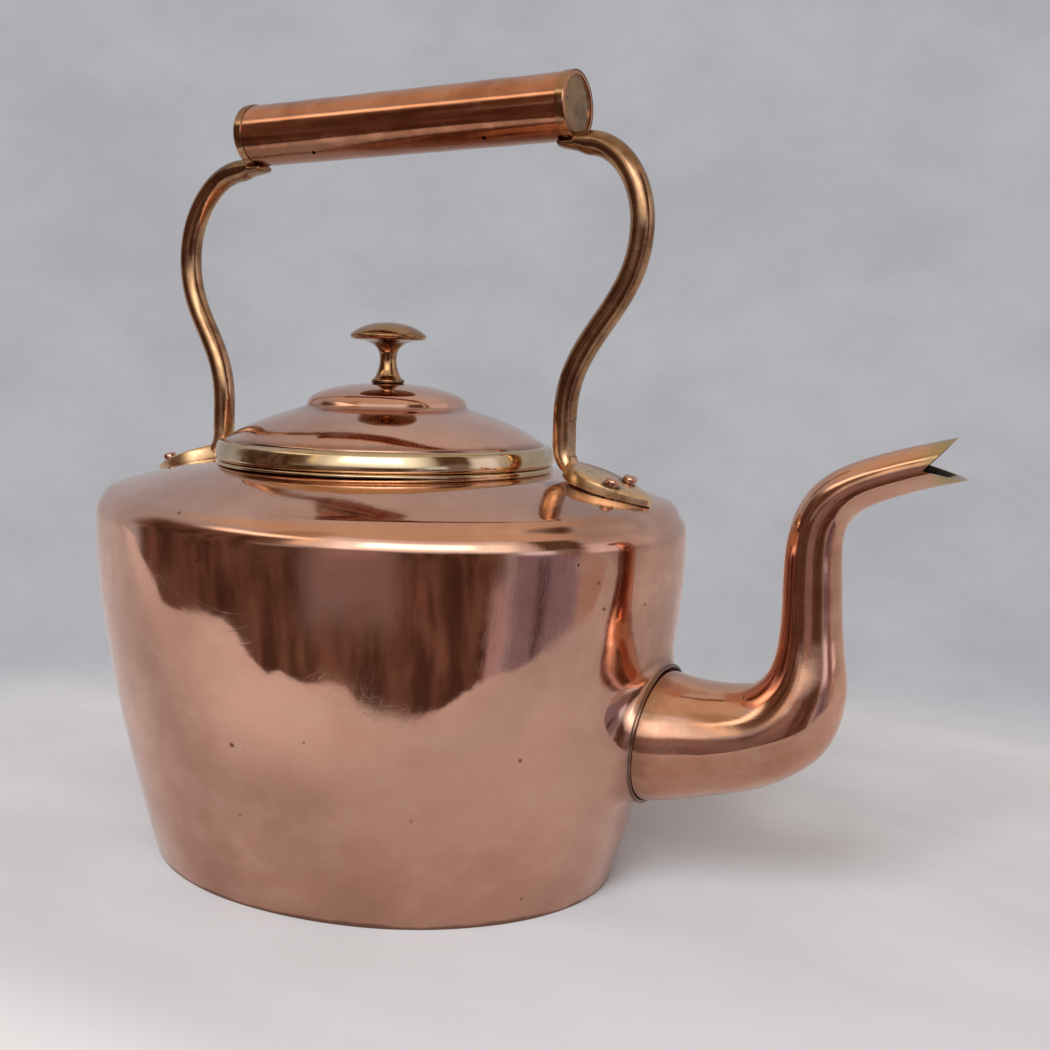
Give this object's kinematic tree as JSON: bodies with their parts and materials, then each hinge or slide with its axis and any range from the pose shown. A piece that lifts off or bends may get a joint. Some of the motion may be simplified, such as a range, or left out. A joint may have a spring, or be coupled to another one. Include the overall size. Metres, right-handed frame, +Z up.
{
  "type": "kettle",
  "caption": "Copper range kettle: oval body with a round mouth, lift-off lid with a brass knob, swan-neck spout, and a fixed brass handle with a hollow copper grip.",
  "frame": {"origin": "middle of the flat base, on the ground", "axes": "+Z up along the kettle's axis, +X towards the spout, the handle in the XZ plane"},
  "size_m": [0.3158, 0.18, 0.2773],
  "materials": {
    "body_copper": "polished, worn",
    "base_copper": "satin, tarnished",
    "lid_copper": "polished, worn",
    "spout_copper": "polished, worn",
    "grip_copper": "polished, worn",
    "rivet_copper": "satin, worn",
    "rim_brass": "polished, worn",
    "knob_brass": "polished, worn",
    "arm_brass": "satin, worn",
    "grip_brass": "satin, tarnished"
  },
  "bodies": {
    "kettle": {"body_shell": "body_copper", "base_plate": "base_copper", "mouth_ring": "rim_brass", "handle_arm_front": "arm_brass", "handle_arm_rear": "arm_brass", "foot_rivets_front": "rivet_copper", "foot_rivets_rear": "rivet_copper", "rivet_burrs_front": "rivet_copper", "rivet_burrs_rear": "rivet_copper", "grip_tube": "grip_copper", "grip_band_front": "grip_brass", "grip_band_rear": "grip_brass", "grip_disc_front": "grip_brass", "grip_disc_rear": "grip_brass", "spout": "spout_copper"},
    "lid": {"lid_dome": "lid_copper", "lid_rim": "rim_brass", "lid_flange": "rim_brass", "lid_knob": "knob_brass", "knob_washer": "rim_brass"}
  },
  "joints": [
    {"name": "lid_lift", "type": "slide", "parent": "kettle", "child": "lid", "axis": [0, 0, 1], "range_m": [0, 0.05]}
  ]
}
